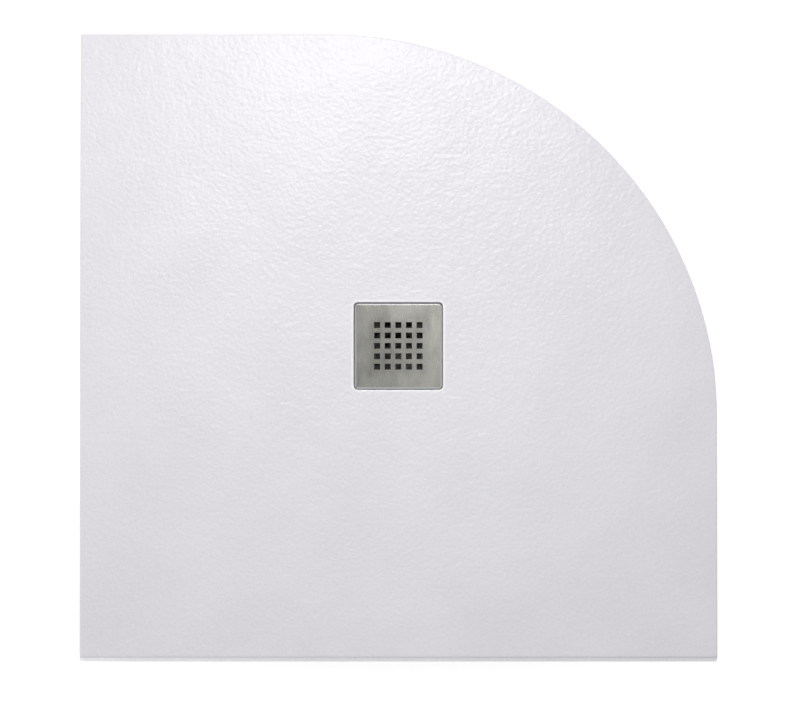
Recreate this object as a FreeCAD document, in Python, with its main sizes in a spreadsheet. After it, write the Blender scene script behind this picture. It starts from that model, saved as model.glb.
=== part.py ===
import FreeCAD, Part
import Sketcher
import math
import os

# A cast shower tray with one rounded corner, its lift-off grate and the waste trap below it.
# Frame: the origin is on the drain's axis in the plane of the tray's underside, +Z is up,
# and the rounded corner lies at +X +Y. Lengths are millimetres.

SIZES = (
    # the cast tray
    ("tray_width", 900, "tray along X"),
    ("tray_depth", 900, "tray along Y"),
    ("front_radius", 550, "radius of the rounded corner"),
    ("corner_radius", 3, "radius of the three square corners"),
    ("rim_height", 28, "tray thickness at its outer edge"),
    ("fall", 6, "drop of the standing surface from rim to grate"),
    ("border_width", 14, "level border round the fall, at its narrowest"),
    ("edge_radius", 2.5, "rounding of the outer top edge"),
    ("drain_diameter", 90, "hole through the tray"),
    ("recess_depth", 8, "depth of the recess that takes the grate"),
    ("lip_radius", 1.8, "rounding of the recess edge"),
    ("ring_width", 3.5, "level floor round the recess corners"),
    ("under_seat", 4, "depth of the seat for the trap in the underside"),
    ("under_room", 3, "that seat wider than the trap's collar, on the radius"),
    # the grate
    ("grate_side", 124, "square cover, outside"),
    ("grate_corner", 5, "corner radius of the cover"),
    ("grate_gap", 1, "gap between cover and recess wall"),
    ("skirt_height", 5.5, "turned-down edge of the cover"),
    ("sheet_thickness", 1.5, "sheet of the cover"),
    ("roll_radius", 3, "outer radius of the rolled edge"),
    ("hole_side", 8.5, "square drain holes"),
    ("hole_pitch", 15, "spacing of the drain holes"),
    ("hole_count", 5, "drain holes in a row, and rows"),
    ("pad_diameter", 10, "rubber pads under the cover"),
    ("pad_inset", 11, "pad centre from the cover's outer side"),
    ("rest_gap", 0.3, "clearance under a piece that lifts off"),
    # the flange that clamps the trap through the hole, and its two seals
    ("flange_overlap", 11, "flange rim, out from the drain hole"),
    ("flange_thickness", 2.5, "rim of the flange"),
    ("flange_bevel", 0.8, "bevel round the flange rim"),
    ("upper_seal", 1.5, "seal between recess floor and flange"),
    ("lower_seal", 3, "seal between the underside's seat and the collar"),
    ("seal_margin", 1, "hole in the seals, out from the drain hole"),
    ("sleeve_play", 4, "sleeve inside the drain hole"),
    ("sleeve_wall", 3, "wall of the sleeve"),
    ("sleeve_length", 34, "sleeve, from the top of the rim"),
    ("ledge_width", 5, "ledge that carries the dip tube"),
    ("ledge_thickness", 2.5, "ledge that carries the dip tube"),
    ("notch_count", 4, "key notches in the flange rim"),
    ("notch_width", 8, "key notches in the flange rim"),
    ("notch_depth", 2, "key notches in the flange rim"),
    ("thread_gap", 0.2, "clearance of the screwed joints"),
    # the trap
    ("collar_thickness", 6, "collar under the tray"),
    ("neck_wall", 3.5, "wall of the screwed neck"),
    ("neck_spare", 3, "neck below the end of the sleeve"),
    ("pot_margin", 1.5, "pot wider than the sleeve's bore, on the radius"),
    ("pot_wall", 3, "wall of the pot"),
    ("pot_floor_room", 12, "room between dip tube and pot floor"),
    ("pot_bevel", 6, "bevel at the foot of the pot"),
    ("gusset_count", 6, "ribs under the collar"),
    ("gusset_thickness", 2.5, "ribs under the collar"),
    ("gusset_reach", 9, "ribs, out from the neck"),
    ("gusset_drop", 20, "ribs, down from the collar"),
    ("gusset_foot", 4, "ribs, height at the neck's foot"),
    # the side outlet and its compression joint
    ("outlet_drop", 38, "outlet axis below the tray"),
    ("outlet_bore", 35, "passage into the pot"),
    ("outlet_reach", 80, "mouth of the outlet from the drain axis"),
    ("boss_diameter", 50, "screwed end of the outlet"),
    ("pipe_diameter", 40, "waste pipe that plugs in"),
    ("pipe_fit", 0.3, "clearance round the pipe, on the radius"),
    ("socket_depth", 25, "depth to which the pipe plugs in"),
    ("seat_depth", 4, "conical seat of the rubber ring"),
    ("seat_flare", 3, "widening of the seat, on the radius"),
    ("washer_rim", 3, "rubber ring outside the seat"),
    ("ring_margin", 0.5, "washer and slip ring inside the nut"),
    ("slip_ring", 1.5, "thin ring between rubber and nut"),
    ("nut_face", 3, "end wall of the nut"),
    ("nut_length", 26, "whole nut"),
    ("nut_wall", 3.5, "side wall of the nut"),
    ("nut_rib_count", 12, "grip ribs on the nut"),
    ("nut_rib_width", 3, "grip ribs on the nut"),
    ("nut_rib_height", 1.3, "grip ribs on the nut"),
    # the lift-out dip tube
    ("cup_gap", 0.4, "dip tube's rim inside the sleeve"),
    ("cup_height", 9, "rim of the dip tube"),
    ("cup_wall", 4, "rim of the dip tube"),
    ("cone_height", 3.5, "funnel inside the rim"),
    ("tube_play", 3, "tube inside the ledge"),
    ("tube_wall", 2.5, "wall of the tube"),
    ("water_seal", 30, "depth of water that the tube dips into"),
    ("bar_width", 5, "finger bar across the rim"),
    ("bar_height", 5, "finger bar across the rim"),
    ("bar_round", 1.2, "rounding of the finger bar"),
    ("ring_section", 2.6, "O-ring cord, eight-sided"),
    ("ring_squeeze_gap", 0.08, "O-ring to sleeve"),
    ("groove_play", 0.4, "O-ring groove is wider than the cord"),
)

# Heights and radii that follow from the sizes, as expressions on the sheet.
DISH_FLOOR = "(Sizes.rim_height - Sizes.fall)"
RECESS_FLOOR = f"({DISH_FLOOR} - Sizes.recess_depth)"
RECESS_HALF = "(Sizes.grate_side / 2 + Sizes.grate_gap)"
RECESS_CORNER = "(Sizes.grate_corner + Sizes.grate_gap)"
DRAIN_RADIUS = "(Sizes.drain_diameter / 2)"
RIM_RADIUS = f"({DRAIN_RADIUS} + Sizes.flange_overlap)"
FALL_START = f"(({RECESS_HALF} - {RECESS_CORNER}) * sqrt(2) + {RECESS_CORNER} + Sizes.ring_width)"
ARC_SHIFT_X = "max(0; Sizes.front_radius - Sizes.tray_width / 2)"
ARC_SHIFT_Y = "max(0; Sizes.front_radius - Sizes.tray_depth / 2)"
ARC_DISTANCE = f"(Sizes.front_radius - hypot({ARC_SHIFT_X}; {ARC_SHIFT_Y}))"
NEAREST_EDGE = f"min(Sizes.tray_width / 2; Sizes.tray_depth / 2; {ARC_DISTANCE})"
FALL_END = f"({NEAREST_EDGE} - Sizes.border_width)"
PLATE_UNDERSIDE = f"({DISH_FLOOR} - Sizes.sheet_thickness)"
FLANGE_SEAT = f"({RECESS_FLOOR} + Sizes.upper_seal)"
FLANGE_TOP = f"({FLANGE_SEAT} + Sizes.flange_thickness)"
SLEEVE_END = f"({FLANGE_TOP} - Sizes.sleeve_length)"
SLEEVE_OUTSIDE = f"({DRAIN_RADIUS} - Sizes.sleeve_play)"
SLEEVE_INSIDE = f"({SLEEVE_OUTSIDE} - Sizes.sleeve_wall)"
LEDGE_INSIDE = f"({SLEEVE_INSIDE} - Sizes.ledge_width)"
LEDGE_TOP = f"({SLEEVE_END} + Sizes.ledge_thickness)"
COLLAR_TOP = "(Sizes.under_seat - Sizes.lower_seal)"
COLLAR_BOTTOM = f"({COLLAR_TOP} - Sizes.collar_thickness)"
NECK_INSIDE = f"({SLEEVE_OUTSIDE} + Sizes.thread_gap)"
NECK_OUTSIDE = f"({NECK_INSIDE} + Sizes.neck_wall)"
NECK_END = f"({SLEEVE_END} - Sizes.neck_spare)"
TUBE_END = "(0 - Sizes.outlet_drop - Sizes.outlet_bore / 2 - Sizes.water_seal)"
POT_FLOOR = f"({TUBE_END} - Sizes.pot_floor_room)"
POT_UNDERSIDE = f"({POT_FLOOR} - Sizes.pot_wall)"
POT_INSIDE = f"({SLEEVE_INSIDE} + Sizes.pot_margin)"
POT_OUTSIDE = f"({POT_INSIDE} + Sizes.pot_wall)"
PIPE_INSIDE = "(Sizes.pipe_diameter / 2 + Sizes.pipe_fit)"
RING_OUTSIDE = "(Sizes.boss_diameter / 2 - Sizes.ring_margin)"
RINGS_END = "(Sizes.outlet_reach + Sizes.washer_rim + Sizes.slip_ring)"
NUT_END = f"({RINGS_END} + Sizes.nut_face)"
NUT_START = f"({NUT_END} - Sizes.nut_length)"
NUT_BORE = "(Sizes.boss_diameter / 2 + Sizes.thread_gap)"
NUT_OUTSIDE = f"({NUT_BORE} + Sizes.nut_wall)"
CUP_OUTSIDE = f"({SLEEVE_INSIDE} - Sizes.cup_gap)"
CUP_INSIDE = f"({CUP_OUTSIDE} - Sizes.cup_wall)"
CUP_SEAT = f"({LEDGE_TOP} + Sizes.rest_gap)"
CUP_TOP = f"({CUP_SEAT} + Sizes.cup_height)"
TUBE_OUTSIDE = f"({LEDGE_INSIDE} - Sizes.tube_play)"
TUBE_INSIDE = f"({TUBE_OUTSIDE} - Sizes.tube_wall)"
RING_MIDDLE = f"({CUP_SEAT} + Sizes.cup_height / 2)"
RING_CENTRE = f"({SLEEVE_INSIDE} - Sizes.ring_squeeze_gap - Sizes.ring_section / 2)"
GROOVE_HALF = "((Sizes.ring_section + Sizes.groove_play) / 2)"
GROOVE_BOTTOM = f"({RING_CENTRE} - {GROOVE_HALF})"

TOUCH = 1e-4  # millimetres within which a corner or an edge counts as lying at a height
CUTS = ("Pocket", "Groove")

doc = FreeCAD.newDocument("shower_tray")


def make_sheet():
    """The driving sizes, one to a row: name, value and what it is."""
    sheet = doc.addObject("Spreadsheet::Sheet", "Sizes")
    for row, (alias, value, meaning) in enumerate(SIZES, 1):
        sheet.set(f"A{row}", alias)
        sheet.set(f"B{row}", str(value))
        sheet.set(f"C{row}", meaning)
        sheet.setAlias(f"B{row}", alias)
    doc.recompute()
    return sheet


def new_body(label):
    body = doc.addObject("PartDesign::Body", label)
    body.Label = label
    return body


def origin_part(body, role):
    """One of the body's own origin planes or axes."""
    return next(item for item in body.Origin.OriginFeatures if item.Role == role)


def new_sketch(body, name, role, shift="0"):
    """A sketch on an origin plane of the body, moved along the plane's normal."""
    sketch = body.newObject("Sketcher::SketchObject", f"{body.Name}_{name}")
    sketch.AttachmentSupport = (origin_part(body, role), [""])
    sketch.MapMode = "FlatFace"
    sketch.setExpression("AttachmentOffset.Base.z", shift)
    return sketch


def value_of(sketch, expression):
    return float(sketch.evalExpression(expression))


def drive(sketch, kind, where, expression):
    """A dimension of the sketch that follows an expression on the sheet."""
    index = sketch.addConstraint(Sketcher.Constraint(kind, *where, value_of(sketch, expression)))
    sketch.renameConstraint(index, f"size_{index}")
    sketch.setExpression(f"Constraints.size_{index}", expression)


def straight_outline(sketch, corners):
    """A closed outline of straight runs; each corner is a pair of expressions."""
    points = []
    for across, up in corners:
        points.append(FreeCAD.Vector(value_of(sketch, across), value_of(sketch, up), 0))
    for here, point in enumerate(points):
        sketch.addGeometry(Part.LineSegment(point, points[(here + 1) % len(points)]))
    for here, (across, up) in enumerate(corners):
        sketch.addConstraint(Sketcher.Constraint("Coincident", here, 2, (here + 1) % len(points), 1))
        drive(sketch, "DistanceX", (-1, 1, here, 1), across)
        drive(sketch, "DistanceY", (-1, 1, here, 1), up)


def rounded_outline(sketch, left, right, low, high, radii):
    """Four sides joined by four tangent arcs, whose radii run anticlockwise from the low left."""
    x0, x1, y0, y1 = (value_of(sketch, side) for side in (left, right, low, high))
    r0, r1, r2, r3 = (value_of(sketch, radius) for radius in radii)
    sides = (
        ((x0 + r0, y0), (x1 - r1, y0)),
        ((x1, y0 + r1), (x1, y1 - r2)),
        ((x1 - r2, y1), (x0 + r3, y1)),
        ((x0, y1 - r3), (x0, y0 + r0)),
    )
    turns = (
        (x1 - r1, y0 + r1, r1, radii[1]),
        (x1 - r2, y1 - r2, r2, radii[2]),
        (x0 + r3, y1 - r3, r3, radii[3]),
        (x0 + r0, y0 + r0, r0, radii[0]),
    )
    up = FreeCAD.Vector(0, 0, 1)
    for quarter, ((start, end), (x, y, radius, _)) in enumerate(zip(sides, turns)):
        sketch.addGeometry(Part.LineSegment(FreeCAD.Vector(*start, 0), FreeCAD.Vector(*end, 0)))
        circle = Part.Circle(FreeCAD.Vector(x, y, 0), up, radius)
        sketch.addGeometry(Part.ArcOfCircle(circle, math.pi / 2 * (quarter - 1), math.pi / 2 * quarter))
    for edge in range(8):
        sketch.addConstraint(Sketcher.Constraint("Tangent", edge, 2, (edge + 1) % 8, 1))
    for side, direction in enumerate(("Horizontal", "Vertical") * 2):
        sketch.addConstraint(Sketcher.Constraint(direction, 2 * side))
    for quarter, turn in enumerate(turns):
        drive(sketch, "Radius", (2 * quarter + 1,), turn[3])
    drive(sketch, "DistanceY", (-1, 1, 0, 1), low)
    drive(sketch, "DistanceX", (-1, 1, 2, 1), right)
    drive(sketch, "DistanceY", (-1, 1, 4, 1), high)
    drive(sketch, "DistanceX", (-1, 1, 6, 1), left)


def circle_outline(sketch, across, up, radius):
    centre = FreeCAD.Vector(value_of(sketch, across), value_of(sketch, up), 0)
    circle = Part.Circle(centre, FreeCAD.Vector(0, 0, 1), value_of(sketch, radius))
    index = sketch.addGeometry(circle)
    drive(sketch, "DistanceX", (-1, 1, index, 3), across)
    drive(sketch, "DistanceY", (-1, 1, index, 3), up)
    drive(sketch, "Radius", (index,), radius)


def add_feature(body, kind, name, settings, expressions):
    """A feature of the body, which has to bring material, or take some away where it is a cut."""
    before = body.Shape.Volume if body.Tip else 0
    feature = body.newObject(f"PartDesign::{kind}", f"{body.Name}_{name}")
    for setting, value in settings.items():
        setattr(feature, setting, value)
    for setting, expression in expressions.items():
        feature.setExpression(setting, expression)
    body.Tip = feature
    doc.recompute()
    after = body.Shape.Volume
    if kind in CUTS and after >= before:
        raise RuntimeError(f"{feature.Name} takes nothing away")
    if kind not in CUTS and after == before:
        raise RuntimeError(f"{feature.Name} changes nothing")
    return feature


def pad(body, sketch, name, length, back=False, both=False):
    settings = {"Profile": sketch, "Reversed": back, "Midplane": both}
    return add_feature(body, "Pad", name, settings, {"Length": length})


def pocket(body, sketch, name, length, back=False):
    settings = {"Profile": sketch, "Reversed": back}
    return add_feature(body, "Pocket", name, settings, {"Length": length})


def spin(body, kind, sketch, name, axis="V_Axis"):
    """A full turn of the sketch about one of its own axes."""
    settings = {"Profile": sketch, "ReferenceAxis": (sketch, [axis])}
    return add_feature(body, kind, name, settings, {"Angle": "360"})


def edges_where(feature, test):
    edges = enumerate(feature.Shape.Edges, 1)
    return [f"Edge{number}" for number, edge in edges if test(edge.BoundBox)]


def round_edges(body, feature, name, radius, test):
    """A rounding of the edges whose bounding box passes the test."""
    settings = {"Base": (feature, edges_where(feature, test))}
    return add_feature(body, "Fillet", name, settings, {"Radius": radius})


def lies_at(height):
    """A test for edges that lie in one level plane."""
    return lambda box: abs(box.ZMin - height) < TOUCH and abs(box.ZMax - height) < TOUCH


def repeat_round(body, features, name, role, count):
    """Copies of the features, spread over a full turn about one of the body's axes."""
    settings = {"Originals": features, "Axis": (origin_part(body, role), [""]), "Angle": 360}
    return add_feature(body, "PolarPattern", name, settings, {"Occurrences": count})


def square_outline(sketch, half, corner):
    rounded_outline(sketch, f"-{half}", half, f"-{half}", half, (corner,) * 4)


def make_tray_slab():
    """One casting: border, fall to the drain, recess, drain hole and the trap's seat below."""
    body = new_body("tray_slab")
    outline = new_sketch(body, "outline", "XY_Plane")
    half_width, half_depth = "Sizes.tray_width / 2", "Sizes.tray_depth / 2"
    small, large = "Sizes.corner_radius", "Sizes.front_radius"
    sides = (f"-{half_width}", half_width, f"-{half_depth}", half_depth)
    rounded_outline(outline, *sides, (small, small, large, small))
    slab = pad(body, outline, "slab", "Sizes.rim_height")
    rim = value_of(outline, "Sizes.rim_height")
    round_edges(body, slab, "outer_edge", "Sizes.edge_radius", lies_at(rim))

    dish = new_sketch(body, "dish", "XZ_Plane")
    straight_outline(dish, (
        ("0", "Sizes.rim_height"),
        ("0", DISH_FLOOR),
        (FALL_START, DISH_FLOOR),
        (FALL_END, "Sizes.rim_height"),
    ))
    spin(body, "Groove", dish, "fall_to_drain")

    recess = new_sketch(body, "recess", "XY_Plane", DISH_FLOOR)
    square_outline(recess, RECESS_HALF, RECESS_CORNER)
    well = pocket(body, recess, "recess_well", "Sizes.recess_depth")
    level = lies_at(value_of(recess, DISH_FLOOR))
    reach = value_of(recess, RECESS_HALF) + TOUCH
    round_edges(body, well, "recess_lip", "Sizes.lip_radius",
                lambda box: level(box) and max(-box.XMin, box.XMax, -box.YMin, box.YMax) < reach)

    drain = new_sketch(body, "drain", "XY_Plane", RECESS_FLOOR)
    circle_outline(drain, "0", "0", DRAIN_RADIUS)
    pocket(body, drain, "drain_hole", RECESS_FLOOR)

    seat = new_sketch(body, "seat", "XY_Plane")
    circle_outline(seat, "0", "0", f"{RIM_RADIUS} + Sizes.under_room")
    pocket(body, seat, "collar_seat", "Sizes.under_seat", back=True)
    return body


def make_grate():
    """A pressed pan: rolled edge, turned-down skirt, open below, with a grid of square holes."""
    body = new_body("grate")
    outline = new_sketch(body, "outline", "XY_Plane", f"{DISH_FLOOR} - Sizes.skirt_height")
    square_outline(outline, "(Sizes.grate_side / 2)", "Sizes.grate_corner")
    blank = pad(body, outline, "blank", "Sizes.skirt_height")
    top = value_of(outline, DISH_FLOOR)
    rolled = round_edges(body, blank, "rolled_edge", "Sizes.roll_radius", lies_at(top))

    skirt_end = top - value_of(outline, "Sizes.skirt_height")
    faces = enumerate(rolled.Shape.Faces, 1)
    open_face = [f"Face{number}" for number, face in faces if face.BoundBox.ZMax < skirt_end + TOUCH]
    settings = {"Base": (rolled, open_face), "Reversed": True}
    add_feature(body, "Thickness", "sheet", settings, {"Value": "Sizes.sheet_thickness"})

    first = "(0 - (Sizes.hole_count - 1) / 2 * Sizes.hole_pitch)"
    low = f"{first} - Sizes.hole_side / 2"
    high = f"{first} + Sizes.hole_side / 2"
    corner = new_sketch(body, "corner_hole", "XY_Plane", DISH_FLOOR)
    straight_outline(corner, ((low, low), (high, low), (high, high), (low, high)))
    hole = pocket(body, corner, "first_hole", "Sizes.sheet_thickness * 2")
    span = "(Sizes.hole_count - 1) * Sizes.hole_pitch"
    settings = {
        "Originals": [hole],
        "Direction": (origin_part(body, "X_Axis"), [""]),
        "Direction2": (origin_part(body, "Y_Axis"), [""]),
    }
    expressions = {
        "Length": span,
        "Length2": span,
        "Occurrences": "Sizes.hole_count",
        "Occurrences2": "Sizes.hole_count",
    }
    add_feature(body, "LinearPattern", "hole_grid", settings, expressions)
    return body


def make_grate_pads():
    """Four rubber pads, from the underside of the cover's sheet to just above the recess floor."""
    body = new_body("grate_pads")
    foot = f"{RECESS_FLOOR} + Sizes.rest_gap"
    place = "Sizes.grate_side / 2 - Sizes.pad_inset"
    disc = new_sketch(body, "disc", "XY_Plane", foot)
    circle_outline(disc, place, place, "Sizes.pad_diameter / 2")
    post = pad(body, disc, "post", f"{PLATE_UNDERSIDE} - {RECESS_FLOOR} - Sizes.rest_gap")
    repeat_round(body, [post], "four_pads", "Z_Axis", "4")
    return body


def make_seal(label, low, high):
    """A flat rubber ring between two heights."""
    body = new_body(label)
    section = new_sketch(body, "section", "XZ_Plane")
    inside = f"{DRAIN_RADIUS} + Sizes.seal_margin"
    straight_outline(section, ((inside, low), (RIM_RADIUS, low), (RIM_RADIUS, high), (inside, high)))
    spin(body, "Revolution", section, "ring")
    return body


def make_drain_flange():
    """A wide rim, a sleeve down through the tray, and a ledge inside the foot of the sleeve."""
    body = new_body("drain_flange")
    section = new_sketch(body, "section", "XZ_Plane")
    corners = (
        (SLEEVE_INSIDE, FLANGE_TOP),
        (SLEEVE_INSIDE, LEDGE_TOP),
        (LEDGE_INSIDE, LEDGE_TOP),
        (LEDGE_INSIDE, SLEEVE_END),
        (SLEEVE_OUTSIDE, SLEEVE_END),
        (SLEEVE_OUTSIDE, FLANGE_SEAT),
        (RIM_RADIUS, FLANGE_SEAT),
        (RIM_RADIUS, f"{FLANGE_TOP} - Sizes.flange_bevel"),
        (f"{RIM_RADIUS} - Sizes.flange_bevel", FLANGE_TOP),
    )
    straight_outline(section, corners)
    spin(body, "Revolution", section, "turned")

    notch = new_sketch(body, "notch", "XY_Plane", FLANGE_TOP)
    half = "Sizes.notch_width / 2"
    start = f"{SLEEVE_INSIDE} - Sizes.notch_depth"
    end = f"{SLEEVE_INSIDE} + Sizes.notch_depth"
    straight_outline(notch, ((start, f"-{half}"), (end, f"-{half}"), (end, half), (start, half)))
    key = pocket(body, notch, "key_notch", "Sizes.flange_thickness")
    repeat_round(body, [key], "key_notches", "Z_Axis", "Sizes.notch_count")
    return body


def make_trap_body():
    """A moulded pot with a collar, ribs under it, a screwed neck and a side outlet towards -X."""
    body = new_body("trap_body")
    outside = new_sketch(body, "outside", "XZ_Plane")
    corners = (
        ("0", COLLAR_TOP),
        ("0", POT_UNDERSIDE),
        (f"{POT_OUTSIDE} - Sizes.pot_bevel", POT_UNDERSIDE),
        (POT_OUTSIDE, f"{POT_UNDERSIDE} + Sizes.pot_bevel"),
        (POT_OUTSIDE, f"{NECK_END} - Sizes.pot_wall"),
        (NECK_OUTSIDE, f"{NECK_END} - Sizes.pot_wall"),
        (NECK_OUTSIDE, COLLAR_BOTTOM),
        (RIM_RADIUS, COLLAR_BOTTOM),
        (RIM_RADIUS, COLLAR_TOP),
    )
    straight_outline(outside, corners)
    spin(body, "Revolution", outside, "blank")

    rib = new_sketch(body, "rib", "YZ_Plane")
    tip = f"{NECK_OUTSIDE} + Sizes.gusset_reach"
    inner = f"{POT_INSIDE} + Sizes.pot_wall / 2"
    straight_outline(rib, (
        (inner, COLLAR_BOTTOM),
        (inner, f"{COLLAR_BOTTOM} - Sizes.gusset_drop"),
        (NECK_OUTSIDE, f"{COLLAR_BOTTOM} - Sizes.gusset_drop + Sizes.gusset_foot"),
        (tip, COLLAR_BOTTOM),
    ))
    gusset = pad(body, rib, "gusset", "Sizes.gusset_thickness", both=True)
    repeat_round(body, [gusset], "gussets", "Z_Axis", "Sizes.gusset_count")

    boss = new_sketch(body, "boss", "YZ_Plane")
    circle_outline(boss, "0", "0 - Sizes.outlet_drop", "Sizes.boss_diameter / 2")
    pad(body, boss, "outlet_boss", "Sizes.outlet_reach", back=True)

    inside = new_sketch(body, "inside", "XZ_Plane")
    above = f"{COLLAR_TOP} + Sizes.collar_thickness"
    straight_outline(inside, (
        ("0", above),
        ("0", POT_FLOOR),
        (f"{POT_INSIDE} - Sizes.pot_bevel + Sizes.pot_wall / 2", POT_FLOOR),
        (POT_INSIDE, f"{POT_FLOOR} + Sizes.pot_bevel - Sizes.pot_wall / 2"),
        (POT_INSIDE, NECK_END),
        (NECK_INSIDE, NECK_END),
        (NECK_INSIDE, above),
    ))
    spin(body, "Groove", inside, "hollow")
    cut_outlet(body)
    return body


def cut_outlet(body):
    """The passage into the pot, the pipe's socket and its conical mouth, on the outlet's axis."""
    sketch = new_sketch(body, "passage", "XY_Plane", "0 - Sizes.outlet_drop")
    mouth = "0 - Sizes.outlet_reach"
    shoulder = f"{mouth} + Sizes.socket_depth"
    cone = f"{mouth} + Sizes.seat_depth"
    bore = "Sizes.outlet_bore / 2"
    straight_outline(sketch, (
        (f"0 - {POT_INSIDE} + Sizes.pot_wall", "0"),
        (f"0 - {POT_INSIDE} + Sizes.pot_wall", bore),
        (shoulder, bore),
        (shoulder, PIPE_INSIDE),
        (cone, PIPE_INSIDE),
        (mouth, f"{PIPE_INSIDE} + Sizes.seat_flare"),
        (mouth, "0"),
    ))
    spin(body, "Groove", sketch, "passage_cut", "H_Axis")


def make_outlet_ring(label, corners):
    """A ring turned about the outlet's axis; corners are distances along -X and radii."""
    body = new_body(label)
    section = new_sketch(body, "section", "XZ_Plane")
    straight_outline(section, [(f"0 - ({along})", radius) for along, radius in corners])
    spin(body, "Revolution", section, "turned", "H_Axis")
    body.setExpression("Placement.Base.z", "0 - Sizes.outlet_drop")
    return body


def make_outlet_washer():
    """The rubber ring: a wedge in the conical seat, and a rim that the nut presses."""
    mouth = "Sizes.outlet_reach"
    return make_outlet_ring("outlet_washer", (
        (f"{mouth} - Sizes.seat_depth", PIPE_INSIDE),
        (mouth, f"{PIPE_INSIDE} + Sizes.seat_flare"),
        (mouth, RING_OUTSIDE),
        (f"{mouth} + Sizes.washer_rim", RING_OUTSIDE),
        (f"{mouth} + Sizes.washer_rim", PIPE_INSIDE),
    ))


def make_outlet_slip_ring():
    start = "Sizes.outlet_reach + Sizes.washer_rim"
    return make_outlet_ring("outlet_slip_ring", (
        (start, PIPE_INSIDE),
        (start, RING_OUTSIDE),
        (RINGS_END, RING_OUTSIDE),
        (RINGS_END, PIPE_INSIDE),
    ))


def make_outlet_nut():
    """A cap nut over the boss, with a hole for the pipe and ribs for the hand."""
    body = make_outlet_ring("outlet_nut", (
        (NUT_START, NUT_BORE),
        (RINGS_END, NUT_BORE),
        (RINGS_END, f"{PIPE_INSIDE} + Sizes.pipe_fit"),
        (NUT_END, f"{PIPE_INSIDE} + Sizes.pipe_fit"),
        (NUT_END, NUT_OUTSIDE),
        (NUT_START, NUT_OUTSIDE),
    ))
    rib = new_sketch(body, "rib", "YZ_Plane", f"0 - {NUT_END}")
    half = "Sizes.nut_rib_width / 2"
    root = f"{NUT_OUTSIDE} - Sizes.nut_wall / 2"
    crest = f"{NUT_OUTSIDE} + Sizes.nut_rib_height"
    straight_outline(rib, (
        (f"-{half}", root),
        (half, root),
        (f"{half} * 0.6", crest),
        (f"-{half} * 0.6", crest),
    ))
    grip = pad(body, rib, "grip", "Sizes.nut_length")
    repeat_round(body, [grip], "grips", "X_Axis", "Sizes.nut_rib_count")
    return body


def make_dip_tube():
    """A rim that sits on the flange's ledge, a funnel, the tube and a finger bar across the rim."""
    body = new_body("dip_tube")
    groove_low = f"{RING_MIDDLE} - {GROOVE_HALF}"
    groove_high = f"{RING_MIDDLE} + {GROOVE_HALF}"
    section = new_sketch(body, "section", "XZ_Plane")
    straight_outline(section, (
        (CUP_INSIDE, CUP_TOP),
        (CUP_INSIDE, f"{CUP_SEAT} + Sizes.tube_wall + Sizes.cone_height"),
        (TUBE_INSIDE, f"{CUP_SEAT} + Sizes.tube_wall"),
        (TUBE_INSIDE, TUBE_END),
        (TUBE_OUTSIDE, TUBE_END),
        (TUBE_OUTSIDE, CUP_SEAT),
        (CUP_OUTSIDE, CUP_SEAT),
        (CUP_OUTSIDE, groove_low),
        (GROOVE_BOTTOM, groove_low),
        (GROOVE_BOTTOM, groove_high),
        (CUP_OUTSIDE, groove_high),
        (CUP_OUTSIDE, CUP_TOP),
    ))
    spin(body, "Revolution", section, "moulded")

    grip = new_sketch(body, "grip", "YZ_Plane")
    half = "Sizes.bar_width / 2"
    low = f"{CUP_TOP} - Sizes.bar_height"
    round_off = "Sizes.bar_round"
    rounded_outline(grip, f"-{half}", half, low, CUP_TOP, (round_off,) * 4)
    pad(body, grip, "finger_bar", f"({CUP_INSIDE} + Sizes.cup_wall / 4) * 2", both=True)
    return body


def make_cup_o_ring():
    body = new_body("cup_o_ring")
    section = new_sketch(body, "section", "XZ_Plane")
    corners = []
    for corner in range(8):
        angle = f"{45 * corner + 22.5} deg"
        reach = "Sizes.ring_section / 2 / cos(22.5 deg)"
        corners.append((f"{RING_CENTRE} + {reach} * cos({angle})", f"{RING_MIDDLE} + {reach} * sin({angle})"))
    straight_outline(section, corners)
    spin(body, "Revolution", section, "ring")
    return body


def make_all():
    return [
        make_tray_slab(),
        make_grate(),
        make_grate_pads(),
        make_seal("flange_gasket", RECESS_FLOOR, FLANGE_SEAT),
        make_seal("body_gasket", COLLAR_TOP, "Sizes.under_seat"),
        make_drain_flange(),
        make_trap_body(),
        make_outlet_washer(),
        make_outlet_slip_ring(),
        make_outlet_nut(),
        make_dip_tube(),
        make_cup_o_ring(),
    ]


def check_document(bodies):
    """Every feature has to be made and every piece has to be a sound solid."""
    doc.recompute()
    for item in doc.Objects:
        if {"Invalid", "Error"} & set(item.State):
            raise RuntimeError(f"{item.Name} is {item.State}")
    for body in bodies:
        if body.Shape.isNull() or not body.Shape.isValid() or not body.Shape.Solids:
            raise RuntimeError(f"{body.Label} is not a sound solid")


make_sheet()
pieces = make_all()
check_document(pieces)
os.makedirs("parts", exist_ok=True)
for piece in pieces:
    piece.Shape.exportStep(f"parts/{piece.Label}.step")
    box = piece.Shape.BoundBox
    solids = len(piece.Shape.Solids)
    print(f"{piece.Label}: {solids} solid, {piece.Shape.Volume:.0f} mm3, z {box.ZMin:.2f} to {box.ZMax:.2f}")
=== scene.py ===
import math
import bmesh
import bpy
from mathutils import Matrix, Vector, noise


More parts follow.
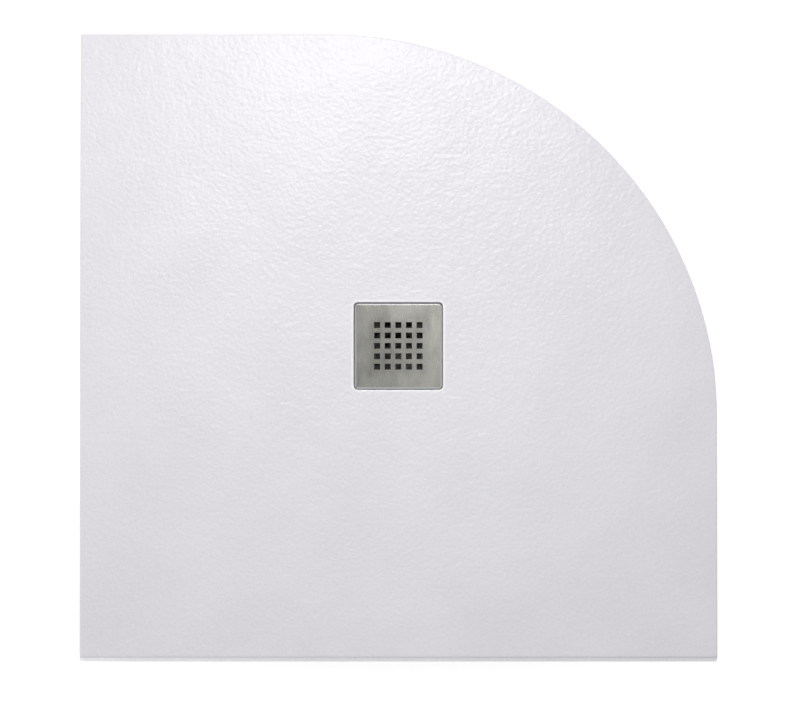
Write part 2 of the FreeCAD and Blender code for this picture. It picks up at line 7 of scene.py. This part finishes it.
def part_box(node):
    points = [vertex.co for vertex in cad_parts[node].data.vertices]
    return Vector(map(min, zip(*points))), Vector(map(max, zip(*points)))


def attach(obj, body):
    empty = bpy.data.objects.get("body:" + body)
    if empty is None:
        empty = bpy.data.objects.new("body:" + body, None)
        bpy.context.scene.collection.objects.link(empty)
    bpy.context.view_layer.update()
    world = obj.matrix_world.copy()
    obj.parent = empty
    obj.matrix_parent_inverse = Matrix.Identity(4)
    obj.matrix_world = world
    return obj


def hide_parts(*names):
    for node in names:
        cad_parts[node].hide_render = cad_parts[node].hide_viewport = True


# A cast shower tray seen nearly from above, with its grate and the waste trap that hangs below.
# Lengths are metres. The drain's axis is the Z axis and the tray's underside lies at Z = 0.

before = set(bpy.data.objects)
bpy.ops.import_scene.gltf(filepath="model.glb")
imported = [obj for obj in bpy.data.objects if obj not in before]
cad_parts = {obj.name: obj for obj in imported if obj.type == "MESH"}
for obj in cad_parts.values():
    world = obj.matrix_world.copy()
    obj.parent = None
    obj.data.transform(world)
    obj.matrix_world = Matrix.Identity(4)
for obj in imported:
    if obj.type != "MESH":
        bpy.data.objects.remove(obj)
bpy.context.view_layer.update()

MM = 0.001
QUARTER = math.pi / 2

# Sizes that the frame's boxes give.
TRAY_LOW, TRAY_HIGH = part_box("tray_slab")
GRATE_LOW, GRATE_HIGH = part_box("grate")
RIM_TOP = TRAY_HIGH.z
DISH_TOP = GRATE_HIGH.z
RECESS_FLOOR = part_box("flange_gasket")[0].z
SEAT_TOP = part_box("body_gasket")[1].z

# The tray's other sizes, as its solid has them.
BIG_RADIUS = 550 * MM
SMALL_RADIUS = 3 * MM
RECESS_GAP = 1 * MM
RECESS_CORNER = 6 * MM
DRAIN_RADIUS = 45 * MM
SEAT_RADIUS = 59 * MM
FALL_START = 90 * MM
FALL_END = 394.6 * MM
STRAIGHT_HALF = GRATE_HIGH.x + RECESS_GAP - RECESS_CORNER

# The roundings of the casting.
EDGE_ROUND = 2.5 * MM
LEAST_CORNER = 0.5 * MM
LIP_ROUND = 1.2 * MM
RECESS_FOOT = 0.8 * MM
ROUND_STEPS = 5

# The cast surface: a grid whose relief fades towards the tray's edge and the recess.
GRID_STEP = 3.1 * MM
GRID_INSET = 4 * MM
WELL_MARGIN = 1.4 * MM
RELIEF_MEAN = 0.27 * MM
RELIEF_SEED = 5
RELIEF_FADE = 5 * MM

# Bands of the finishes: the painted highlight round the recess lip and the grate's rolled edge, which carries
# a painted reflection; and the half width of the grate's field of holes.
LIP_HIGHLIGHT_BAND = 4.5 * MM
ROLLED_EDGE = 3.2 * MM
HOLE_FIELD = 34.25 * MM

# The studio. The floor's own glow leaves room for the object's shadow.
WHITE = (1, 1, 1, 1)
FLOOR_GLOW = 0.70
FLOOR_CLEARANCE = 1 * MM
WORLD_LEVEL = 0.469

# Each lamp's name, place, target, width, depth, watts, and whether shiny surfaces mirror it. The window light
# makes the highlight, the raking one shows the relief, and the strips reach the trap below the tray.
STUDIO_LAMPS = (
    ("window_light", (-0.045, 0.79, 1.50), (-0.05, 0.15, 0.0), 0.34, 0.44, 5.4, True),
    ("ceiling_light", (-0.25, 0.28, 1.50), (-0.18, 0.02, 0.0), 0.8, 0.8, 2.9, False),
    ("raking_light", (-2.2, 4.2, 3.6), (0.0, 0.0, 0.0), 1.1, 1.1, 80.0, False),
    ("left_strip", (-1.5, -1.3, -0.04), (0.0, 0.0, -0.05), 1.2, 0.10, 8.0, False),
    ("right_strip", (1.6, 1.2, -0.04), (0.0, 0.0, -0.05), 1.2, 0.10, 8.0, False),
)


# ---------------------------------------------------------------- shader maths

class Wire:
    """A node's output in a finish; arithmetic on it adds Math nodes."""

    def __init__(self, finish, socket):
        self.finish = finish
        self.socket = socket

    def __getitem__(self, name):
        return Wire(self.finish, pick(self.socket.node.outputs, name))

    def maths(self, operation, *others):
        """A Math node with this wire first and the other values after it."""
        sockets = dict(enumerate((self, *others)))
        return self.finish.add("ShaderNodeMath", {"operation": operation}, sockets)

    def __add__(self, other):
        return self.maths("ADD", other)

    def __sub__(self, other):
        return self.maths("SUBTRACT", other)

    def __rsub__(self, other):
        return self.maths("MULTIPLY_ADD", -1.0, other)

    def __mul__(self, other):
        return self.maths("MULTIPLY", other)

    __radd__ = __add__
    __rmul__ = __mul__


def pick(sockets, name):
    """A socket by its place, its identifier or its label."""
    if isinstance(name, int):
        return sockets[name]
    for socket in sockets:
        if socket.identifier == name:
            return socket
    return sockets[name]


class Finish:
    """The nodes of a material, or of the world, that make colour, gloss, relief and glow."""

    def __init__(self, owner):
        self.owner = owner
        self.owner.use_nodes = True
        self.tree = self.owner.node_tree
        self.tree.nodes.clear()

    def add(self, kind, settings=None, sockets=None):
        """A node with its settings made first and then its sockets, given as values or wires."""
        node = self.tree.nodes.new(kind)
        for setting, value in (settings or {}).items():
            if setting == "stops":
                fill_ramp(node.color_ramp, value)
            else:
                setattr(node, setting, value)
        for name, value in (sockets or {}).items():
            socket = pick(node.inputs, name)
            if isinstance(value, Wire):
                self.tree.links.new(value.socket, socket)
            else:
                socket.default_value = value
        if not node.outputs:
            return node
        return Wire(self, next(output for output in node.outputs if output.enabled))

    def place(self):
        """Where a point lies on the object, in metres."""
        return self.add("ShaderNodeTexCoord")["Object"]

    def stretched(self, scale):
        return self.add("ShaderNodeMapping", None, {"Vector": self.place(), "Scale": scale})

    def speckle(self, where, scale, detail=2.0, rough=0.5, lean=0.0):
        """Cloudy noise from 0 to 1."""
        sockets = {"Vector": where, "Scale": scale, "Detail": detail, "Roughness": rough, "Distortion": lean}
        return self.add("ShaderNodeTexNoise", None, sockets)["Fac"]

    def ramp(self, wire, stops):
        return self.add("ShaderNodeValToRGB", {"stops": stops}, {"Fac": wire})

    def spread(self, wire, low, high, to_low=0.0, to_high=1.0):
        """The wire's range from low to high, brought to another range and held inside it."""
        sockets = {"Value": wire, "From Min": low, "From Max": high, "To Min": to_low, "To Max": to_high}
        return self.add("ShaderNodeMapRange", {"clamp": True}, sockets)

    def blend_colours(self, share, first, second):
        sockets = {"Factor_Float": share, "A_Color": first, "B_Color": second}
        return self.add("ShaderNodeMix", {"data_type": "RGBA"}, sockets)["Result_Color"]

    def relief(self, height, depth, under=None):
        """Normals of a surface whose height runs from 0 to 1 times the depth in metres."""
        sockets = {"Height": height, "Distance": depth, "Strength": 1.0}
        if under is not None:
            sockets["Normal"] = under
        return self.add("ShaderNodeBump", None, sockets)

    def surface(self, **sockets):
        """The main shader; words are joined by underscores."""
        named = {name.replace("_", " "): value for name, value in sockets.items()}
        shader = self.add("ShaderNodeBsdfPrincipled", None, named)
        self.add("ShaderNodeOutputMaterial", None, {"Surface": shader})
        return self.owner


def new_finish(name):
    return Finish(bpy.data.materials.new(name))


def fill_ramp(ramp, stops):
    while len(ramp.elements) < len(stops):
        ramp.elements.new(1.0)
    for element, (position, colour) in zip(ramp.elements, stops):
        element.position = position
        element.color = (*colour, 1.0)


# ---------------------------------------------------------------- finishes

def gel_coat():
    """Cool white gel coat, glossy over a fine pebbled grain, with a painted highlight round the recess lip.
    """
    shade = (0.805, 0.79, 0.835, 1)
    light = (0.835, 0.82, 0.865, 1)
    lip_highlight_paint = (0.95, 0.945, 0.96, 1)
    finish = new_finish("gel_coat_stone")
    place = finish.place()
    clouds = finish.speckle(place, scale=9.0, detail=3.0)
    colour = finish.blend_colours(finish.spread(clouds, 0.35, 0.65), shade, light)
    across = finish.add("ShaderNodeSeparateXYZ", None, {"Vector": place})
    out_x = (across["X"].maths("ABSOLUTE") - STRAIGHT_HALF).maths("MAXIMUM", 0.0)
    out_y = (across["Y"].maths("ABSOLUTE") - STRAIGHT_HALF).maths("MAXIMUM", 0.0)
    from_lip = (out_x * out_x + out_y * out_y).maths("SQRT") - RECESS_CORNER
    # Painted highlight: the gel coat turns whiter in a band round the recess lip, as if its rounding caught
    # the light.
    lip_highlight_share = finish.spread(from_lip, LIP_HIGHLIGHT_BAND, LIP_HIGHLIGHT_BAND * 0.4)
    colour = finish.blend_colours(lip_highlight_share, colour, lip_highlight_paint)
    pebbles = finish.speckle(place, scale=190.0, detail=0.3, lean=0.4)
    grain = finish.speckle(place, scale=520.0, detail=1.0)
    normal = finish.relief(pebbles, 0.42 * MM)
    normal = finish.relief(grain, 0.018 * MM, under=normal)
    gloss = finish.spread(grain, 0.3, 0.7, to_low=0.25, to_high=0.32)
    return finish.surface(Base_Color=colour, Roughness=gloss, Normal=normal, IOR=1.5)


def brushed_steel():
    """Stainless sheet, brushed along Y, darker in patches and towards the holes; painted sheen lightens it
    towards +X and a painted reflection lightens its edge.
    """
    dull, plain, bright = (0.15, 0.149, 0.135), (0.225, 0.225, 0.205), (0.32, 0.32, 0.292)
    scratched = (0.19, 0.189, 0.173, 1)
    rolled_edge_reflection_paint = (0.50, 0.505, 0.52, 1)
    finish = new_finish("brushed_stainless")
    brush = finish.speckle(finish.stretched((1400.0, 60.0, 1400.0)), scale=1.0)
    patches = finish.speckle(finish.stretched((34.0, 20.0, 34.0)), scale=1.0, detail=3.0, rough=0.6, lean=0.6)
    across = finish.add("ShaderNodeSeparateXYZ", None, {"Vector": finish.place()})
    from_middle = across["X"].maths("ABSOLUTE").maths("MAXIMUM", across["Y"].maths("ABSOLUTE"))
    # The plate gets darker towards the field of holes.
    darkening_round_holes = finish.spread(from_middle, HOLE_FIELD + 12 * MM, HOLE_FIELD - 4 * MM, to_high=0.11)
    # Painted sheen: the plate's tone rises towards +X, as the light falls on it.
    painted_sheen_rise = finish.spread(across["X"], GRATE_LOW.x, GRATE_HIGH.x, to_high=0.3)
    tone = patches * 0.7 + painted_sheen_rise - darkening_round_holes
    # Painted reflection: the rolled edge turns lighter and bluer, as if it mirrored the sky; the same band
    # also makes it rougher.
    edge = finish.spread(from_middle, GRATE_HIGH.x - ROLLED_EDGE, GRATE_HIGH.x - ROLLED_EDGE * 0.35)
    colour = finish.ramp(tone, [(0.25, dull), (0.48, plain), (0.75, bright)])
    scratches = finish.spread(brush, 0.3, 0.7, to_high=0.35)
    colour = finish.blend_colours(scratches, colour, scratched)
    colour = finish.blend_colours(edge, colour, rolled_edge_reflection_paint)
    gloss = finish.spread(brush, 0.25, 0.75, to_low=0.20, to_high=0.30) + edge * 0.2
    normal = finish.relief(brush, 0.02 * MM)
    return finish.surface(Base_Color=colour, Metallic=1.0, Roughness=gloss, Normal=normal)


def rubber(name, dark, light):
    """Matt rubber with a faint bloom."""
    finish = new_finish(name)
    bloom = finish.speckle(finish.place(), scale=130.0, detail=4.0, rough=0.6)
    colour = finish.ramp(bloom, [(0.35, dark), (0.75, light)])
    gloss = finish.spread(bloom, 0.3, 0.7, to_low=0.55, to_high=0.78)
    grain = finish.speckle(finish.place(), scale=900.0)
    return finish.surface(Base_Color=colour, Roughness=gloss, Normal=finish.relief(grain, 0.04 * MM))


def moulded(name, dark, light, gloss, shine=0.5):
    """Moulded plastic: an even tone with faint flow marks and a satin skin."""
    finish = new_finish(name)
    flow = finish.speckle(finish.stretched((30.0, 30.0, 9.0)), scale=1.0, detail=3.0, lean=0.7)
    colour = finish.ramp(flow, [(0.35, dark), (0.65, light)])
    skin = finish.speckle(finish.place(), scale=1500.0)
    satin = finish.spread(flow, 0.3, 0.7, *gloss)
    normal = finish.relief(skin, 0.015 * MM)
    return finish.surface(Base_Color=colour, Roughness=satin, Specular_IOR_Level=shine, Normal=normal)


# ---------------------------------------------------------------- outlines

class Outline:
    """A level rectangle with four round corners, walked anticlockwise from the low left corner."""

    def __init__(self, low, high, radii):
        self.low, self.high = low, high
        (x0, y0), (x1, y1) = low, high
        middles = ((x0, y0, 1, 1), (x1, y0, -1, 1), (x1, y1, -1, -1), (x0, y1, 1, -1))
        self.corners = []
        for quarter, ((x, y, right, up), radius) in enumerate(zip(middles, radii)):
            centre = Vector((x + right * radius, y + up * radius))
            self.corners.append((centre, radius, math.pi + quarter * QUARTER))

    def point(self, segment, share):
        """Even segments are the corners' arcs and odd ones the sides after them."""
        centre, radius, start = self.corners[segment // 2]
        if segment % 2 == 0:
            angle = start + share * QUARTER
            return centre + radius * Vector((math.cos(angle), math.sin(angle)))
        first = self.point(segment - 1, 1.0)
        return first.lerp(self.point((segment + 1) % 8, 0.0), share)

    def nearest(self, spot):
        """The segment and share of the outline's point that lies nearest to a spot."""
        best = None
        for segment in range(8):
            if segment % 2 == 0:
                centre, radius, start = self.corners[segment // 2]
                heading = math.atan2(spot.y - centre.y, spot.x - centre.x)
                turn = (heading - start + math.pi) % (2 * math.pi) - math.pi
                share = turn / QUARTER
            else:
                first, last = self.point(segment, 0.0), self.point(segment, 1.0)
                run = last - first
                share = (spot - first).dot(run) / run.length_squared
            share = min(max(share, 0.0), 1.0)
            distance = (self.point(segment, share) - spot).length
            if best is None or distance < best[0]:
                best = (distance, segment, share)
        return best[1], best[2]

    def depth(self, x, y):
        """How far a spot lies inside the outline; it is negative outside."""
        (x0, y0), (x1, y1) = self.low, self.high
        depth = min(x - x0, x1 - x, y - y0, y1 - y)
        for quarter, (centre, radius, _) in enumerate(self.corners):
            right = 1 if quarter in (1, 2) else -1
            up = 1 if quarter in (2, 3) else -1
            if (x - centre.x) * right > 0 and (y - centre.y) * up > 0:
                depth = min(depth, radius - math.hypot(x - centre.x, y - centre.y))
        return depth


def tray_outline(inset, small):
    low = (TRAY_LOW.x + inset, TRAY_LOW.y + inset)
    high = (TRAY_HIGH.x - inset, TRAY_HIGH.y - inset)
    return Outline(low, high, (small, small, BIG_RADIUS - inset, small))


def recess_outline(outset):
    low = (GRATE_LOW.x - RECESS_GAP - outset, GRATE_LOW.y - RECESS_GAP - outset)
    high = (GRATE_HIGH.x + RECESS_GAP + outset, GRATE_HIGH.y + RECESS_GAP + outset)
    return Outline(low, high, (RECESS_CORNER + outset,) * 4)


# ---------------------------------------------------------------- mesh helpers

def finished_piece(bm, name, sharp_from):
    """A smooth-shaded object from a bmesh, creased where its faces turn by more than the angle."""
    bmesh.ops.recalc_face_normals(bm, faces=bm.faces)
    mesh = bpy.data.meshes.new(name)
    bm.to_mesh(mesh)
    bm.free()
    mesh.polygons.foreach_set("use_smooth", [True] * len(mesh.polygons))
    mesh.set_sharp_from_angle(angle=math.radians(sharp_from))
    piece = bpy.data.objects.new(name, mesh)
    bpy.context.scene.collection.objects.link(piece)
    return piece


def strip(bm, first, second):
    """A closed band of quads between two rows of vertices of the same count."""
    for here in range(len(first)):
        after = (here + 1) % len(first)
        bm.faces.new((first[here], first[after], second[after], second[here]))


def skin_rows(bm, rows):
    for first, second in zip(rows, rows[1:]):
        strip(bm, first, second)


def boundary_loops(bm):
    """The open edges of a mesh, walked into closed rows of vertices."""
    following = {}
    for edge in bm.edges:
        if edge.is_boundary:
            for vertex in edge.verts:
                following.setdefault(vertex, []).append(edge.other_vert(vertex))
    loops = []
    left = set(following)
    while left:
        start = min(left, key=lambda vertex: (vertex.co.x, vertex.co.y))
        loop, before, here = [], None, start
        while here is not start or not loop:
            loop.append(here)
            left.discard(here)
            step = next(other for other in following[here] if other is not before)
            before, here = here, step
        loops.append(loop)
    return loops


# ---------------------------------------------------------------- the cast tray

def fall_height(x, y):
    """The plain height of the standing surface: level border, fall to the drain, level middle."""
    share = (math.hypot(x, y) - FALL_START) / (FALL_END - FALL_START)
    return DISH_TOP + (RIM_TOP - DISH_TOP) * min(max(share, 0.0), 1.0)


def stone_relief(x, y):
    """The cast slate's ups and downs, in metres, never above 0."""
    noise_level = 0.37
    spot = Vector((x, y, noise_level))
    broad = noise.noise(spot / (75 * MM))
    bend = noise.noise_vector(spot / (40 * MM)) * 9 * MM
    middle = noise.noise((spot + bend) / (22 * MM))
    wrinkles = noise.noise((spot + bend * 0.5) / (7.5 * MM))
    height = (0.10 * broad + 0.12 * middle + 0.14 * wrinkles) * MM
    return min(height - RELIEF_MEAN, 0.0)


def lay_grid(bm, border, well):
    """Square faces over the standing surface, as far as they lie between the two outlines."""
    width = border.high[0] - border.low[0]
    columns = round(width / GRID_STEP)
    step = width / columns
    grid = {}

    def corner(i, j):
        if (i, j) not in grid:
            grid[i, j] = bm.verts.new((border.low[0] + i * step, border.low[1] + j * step, 0.0))
        return grid[i, j]

    for i in range(columns):
        for j in range(columns):
            x = border.low[0] + (i + 0.5) * step
            y = border.low[1] + (j + 0.5) * step
            if border.depth(x, y) > 0 > well.depth(x, y):
                bm.faces.new((corner(i, j), corner(i + 1, j), corner(i + 1, j + 1), corner(i, j + 1)))


def fit_to_outline(loop, outline):
    """Moves a row of vertices onto an outline and says where on it each of them lies."""
    places = [outline.nearest(vertex.co.xy) for vertex in loop]
    for vertex, (segment, share) in zip(loop, places):
        vertex.co.xy = outline.point(segment, share)
    return places


def carve_surface(bm, border, well):
    for vertex in bm.verts:
        x, y = vertex.co.xy
        edge = min(border.depth(x, y), -well.depth(x, y))
        fade = min(max(edge / RELIEF_FADE, 0.0), 1.0)
        relief = (stone_relief(x, y) + RELIEF_MEAN) * fade
        vertex.co.z = fall_height(x, y) - RELIEF_MEAN + relief


def level_row(bm, points, height):
    return [bm.verts.new((point.x, point.y, height)) for point in points]


def outline_row(bm, places, outline, height):
    return level_row(bm, [outline.point(*place) for place in places], height)


def rounding(radius, top):
    """Offsets and heights down a quarter round, from its top to the wall below it."""
    for turn in range(ROUND_STEPS + 1):
        angle = turn / ROUND_STEPS * QUARTER
        yield radius * (1 - math.sin(angle)), top - radius * (1 - math.cos(angle))


def outer_rows(bm, loop, places):
    """The tray's rounded edge and side, down to its underside."""
    rim = RIM_TOP - RELIEF_MEAN
    rows = [loop]
    for inset, height in rounding(EDGE_ROUND, rim):
        corner = max(SMALL_RADIUS - inset, LEAST_CORNER)
        rows.append(outline_row(bm, places, tray_outline(inset, corner), height))
    side = tray_outline(0.0, SMALL_RADIUS)
    rows.append(outline_row(bm, places, side, rim * 0.45))
    rows.append(outline_row(bm, places, side, 0.0))
    return rows


def inner_rows(bm, loop, places):
    """The recess for the grate, its floor, the drain hole and the seat below it."""
    rows = [loop]
    for outset, height in rounding(LIP_ROUND, DISH_TOP - RELIEF_MEAN):
        rows.append(outline_row(bm, places, recess_outline(outset), height))
    rows.append(outline_row(bm, places, recess_outline(0.0), RECESS_FLOOR + RECESS_FOOT))
    rows.append(outline_row(bm, places, recess_outline(-RECESS_FOOT), RECESS_FLOOR))
    square = [vertex.co.xy for vertex in rows[-1]]
    for share in (0.33, 0.67, 1.0):
        points = [spot.lerp(spot.normalized() * DRAIN_RADIUS, share) for spot in square]
        rows.append(level_row(bm, points, RECESS_FLOOR))
    for radius, height in ((DRAIN_RADIUS, SEAT_TOP), (SEAT_RADIUS, SEAT_TOP), (SEAT_RADIUS, 0.0)):
        rows.append(level_row(bm, [spot.normalized() * radius for spot in square], height))
    return rows


def close_underside(bm, *loops):
    edges = []
    for loop in loops:
        for here, vertex in enumerate(loop):
            edges.append(bm.edges.get((vertex, loop[(here + 1) % len(loop)])))
    bmesh.ops.triangle_fill(bm, use_beauty=True, edges=edges)


def build_tray():
    noise.seed_set(RELIEF_SEED)
    bm = bmesh.new()
    border = tray_outline(GRID_INSET, SMALL_RADIUS)
    well = recess_outline(LIP_ROUND + WELL_MARGIN)
    lay_grid(bm, border, well)
    outer, inner = sorted(boundary_loops(bm), key=len, reverse=True)
    outer_places = fit_to_outline(outer, border)
    inner_places = fit_to_outline(inner, well)
    carve_surface(bm, border, well)
    outside = outer_rows(bm, outer, outer_places)
    skin_rows(bm, outside)
    inside = inner_rows(bm, inner, inner_places)
    skin_rows(bm, inside)
    close_underside(bm, outside[-1], inside[-1])
    return finished_piece(bm, "cast_tray", sharp_from=40)


# ---------------------------------------------------------------- the waste

def build_seal_ring():
    """The dip tube's O-ring, with a round cord."""
    low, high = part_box("cup_o_ring")
    cord = 1.3 * MM
    radius = high.x - cord
    middle = (high.z + low.z) / 2
    ring_steps = 96
    cord_steps = 16
    bm = bmesh.new()
    rows = []
    for around in range(ring_steps):
        angle = 2 * math.pi * around / ring_steps
        row = []
        for about in range(cord_steps):
            tilt = 2 * math.pi * about / cord_steps
            reach = radius + cord * math.cos(tilt)
            height = middle + cord * math.sin(tilt)
            row.append(bm.verts.new((reach * math.cos(angle), reach * math.sin(angle), height)))
        rows.append(row)
    skin_rows(bm, rows + rows[:1])
    return finished_piece(bm, "cup_seal_ring", sharp_from=180)


def build_outlet_thread():
    """The thread on the trap's outlet, between the pot and the nut."""
    nut_low, nut_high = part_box("outlet_nut")
    middle = (nut_low.z + nut_high.z) / 2
    root, crest, pitch = 24.8 * MM, 25.7 * MM, 3.2 * MM
    foot_half, crest_half = 0.42 * pitch, 0.16 * pitch
    nut_gap = 0.3 * MM
    pot_side = -46.5 * MM
    steps = 56
    run_out = 0.4 * steps
    start = nut_high.x + nut_gap
    turns = (pot_side - start) / pitch
    count = int(turns * steps)
    profile = ((-foot_half, root), (-crest_half, crest), (crest_half, crest), (foot_half, root))
    bm = bmesh.new()
    rows = []
    for here in range(count + 1):
        angle = 2 * math.pi * here / steps
        along = start + pitch * 0.5 + pitch * here / steps * (1 - 1 / turns)
        ease = min(1.0, here / run_out, (count - here) / run_out)
        row = []
        for across, radius in profile:
            reach = root + (radius - root) * ease
            height = middle + reach * math.sin(angle)
            row.append(bm.verts.new((along + across, reach * math.cos(angle), height)))
        rows.append(row)
    skin_rows(bm, rows)
    for row in (rows[0], rows[-1]):
        bm.faces.new(row)
    return finished_piece(bm, "outlet_thread", sharp_from=25)


# ---------------------------------------------------------------- scene

def seen_directly(finish):
    """1 where the camera sees a thing by itself, in a mirror or through glass."""
    path = finish.add("ShaderNodeLightPath")
    seen = path["Is Camera Ray"].maths("MAXIMUM", path["Is Glossy Ray"])
    return seen.maths("MAXIMUM", path["Is Transmission Ray"])


def build_floor(height):
    """A sheet of pale paper that adds a glow of its own where it is seen."""
    half = 6.0
    corners = ((-half, -half), (half, -half), (half, half), (-half, half))
    bm = bmesh.new()
    bm.faces.new([bm.verts.new((x, y, height)) for x, y in corners])
    floor = finished_piece(bm, "floor", sharp_from=180)
    dim, pale = (0.80, 0.80, 0.80), (0.83, 0.83, 0.83)
    finish = new_finish("floor_paper")
    fibres = finish.speckle(finish.place(), scale=60.0, detail=3.0)
    colour = finish.ramp(fibres, [(0.3, dim), (0.7, pale)])
    paper = finish.add("ShaderNodeBsdfDiffuse", None, {"Color": colour})
    sockets = {"Color": WHITE, "Strength": seen_directly(finish) * FLOOR_GLOW}
    glow = finish.add("ShaderNodeEmission", None, sockets)
    whole = finish.add("ShaderNodeAddShader", None, {0: paper, 1: glow})
    finish.add("ShaderNodeOutputMaterial", None, {"Surface": whole})
    floor.data.materials.append(finish.owner)


def light_world(level):
    """Even light of one level from all sides, and white where it is seen."""
    world = bpy.data.worlds.new("studio")
    bpy.context.scene.world = world
    finish = Finish(world)
    strength = seen_directly(finish) * (1 - level) + level
    glow = finish.add("ShaderNodeBackground", None, {"Color": WHITE, "Strength": strength})
    finish.add("ShaderNodeOutputWorld", None, {"Surface": glow})


def softbox(name, place, target, width, depth, watts, mirrored):
    """A lit panel that faces the target; only a mirrored one shows in shiny surfaces."""
    light = bpy.data.lights.new(name, "AREA")
    light.shape = "RECTANGLE"
    light.size = width
    light.size_y = depth
    light.energy = watts
    lamp = bpy.data.objects.new(name, light)
    lamp.location = place
    lamp.rotation_euler = (Vector(target) - Vector(place)).to_track_quat("-Z", "Y").to_euler()
    lamp.visible_glossy = mirrored
    bpy.context.scene.collection.objects.link(lamp)


def place_camera():
    """Nearly overhead, tipped towards -Y, from far enough for parallel sides."""
    tilt = math.radians(11.5)
    distance = 45.0
    seen_width = 1.1308
    picture_width = 800
    pixel = seen_width / picture_width
    right = 1.65 * pixel
    below = 8.0 * pixel
    centre_up = RIM_TOP * math.sin(tilt) / 2
    aim = Vector((right, (centre_up - below) / math.cos(tilt), 0.0))
    data = bpy.data.cameras.new("camera")
    data.sensor_width = 36.0
    data.sensor_fit = "HORIZONTAL"
    data.lens = data.sensor_width * distance / seen_width
    data.clip_start = 0.1
    data.clip_end = 200.0
    camera = bpy.data.objects.new("camera", data)
    camera.rotation_euler = (tilt, 0.0, 0.0)
    camera.location = aim + distance * Vector((0.0, -math.sin(tilt), math.cos(tilt)))
    bpy.context.scene.collection.objects.link(camera)
    bpy.context.scene.camera = camera


# ---------------------------------------------------------------- putting it together

def dress_cad(node, material):
    """Gives a kept node of the frame its finish."""
    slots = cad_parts[node].data.materials
    if not slots:
        slots.append(material)
    for here in range(len(slots)):
        slots[here] = material


stone = gel_coat()
steel = brushed_steel()
dark_rubber = rubber("dark_rubber", (0.018, 0.018, 0.02), (0.035, 0.035, 0.036))
seal_rubber = rubber("seal_rubber", (0.035, 0.035, 0.038), (0.065, 0.065, 0.068))
white_plastic = moulded("white_plastic", (0.74, 0.74, 0.725), (0.80, 0.80, 0.79), gloss=(0.32, 0.42))
grey_plastic = moulded("grey_plastic", (0.10, 0.102, 0.108), (0.135, 0.138, 0.146), gloss=(0.38, 0.5))
black_plastic = moulded(
    "black_plastic", (0.014, 0.014, 0.015), (0.022, 0.022, 0.023), gloss=(0.42, 0.55), shine=0.15
)

for node, material in (
    ("grate", steel),
    ("grate_pads", dark_rubber),
    ("flange_gasket", seal_rubber),
    ("body_gasket", seal_rubber),
    ("outlet_washer", seal_rubber),
    ("drain_flange", black_plastic),
    ("trap_body", white_plastic),
    ("outlet_nut", white_plastic),
    ("outlet_slip_ring", grey_plastic),
    ("dip_tube", grey_plastic),
):
    dress_cad(node, material)

tray = build_tray()
tray.data.materials.append(stone)
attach(tray, "tray")
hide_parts("tray_slab")

seal_ring = build_seal_ring()
seal_ring.data.materials.append(dark_rubber)
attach(seal_ring, "dip_cup")
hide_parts("cup_o_ring")

thread = build_outlet_thread()
thread.data.materials.append(white_plastic)
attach(thread, "tray")

build_floor(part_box("trap_body")[0].z - FLOOR_CLEARANCE)
light_world(WORLD_LEVEL)
for lamp in STUDIO_LAMPS:
    softbox(*lamp)
place_camera()

scene = bpy.context.scene
scene.view_settings.view_transform = "Standard"
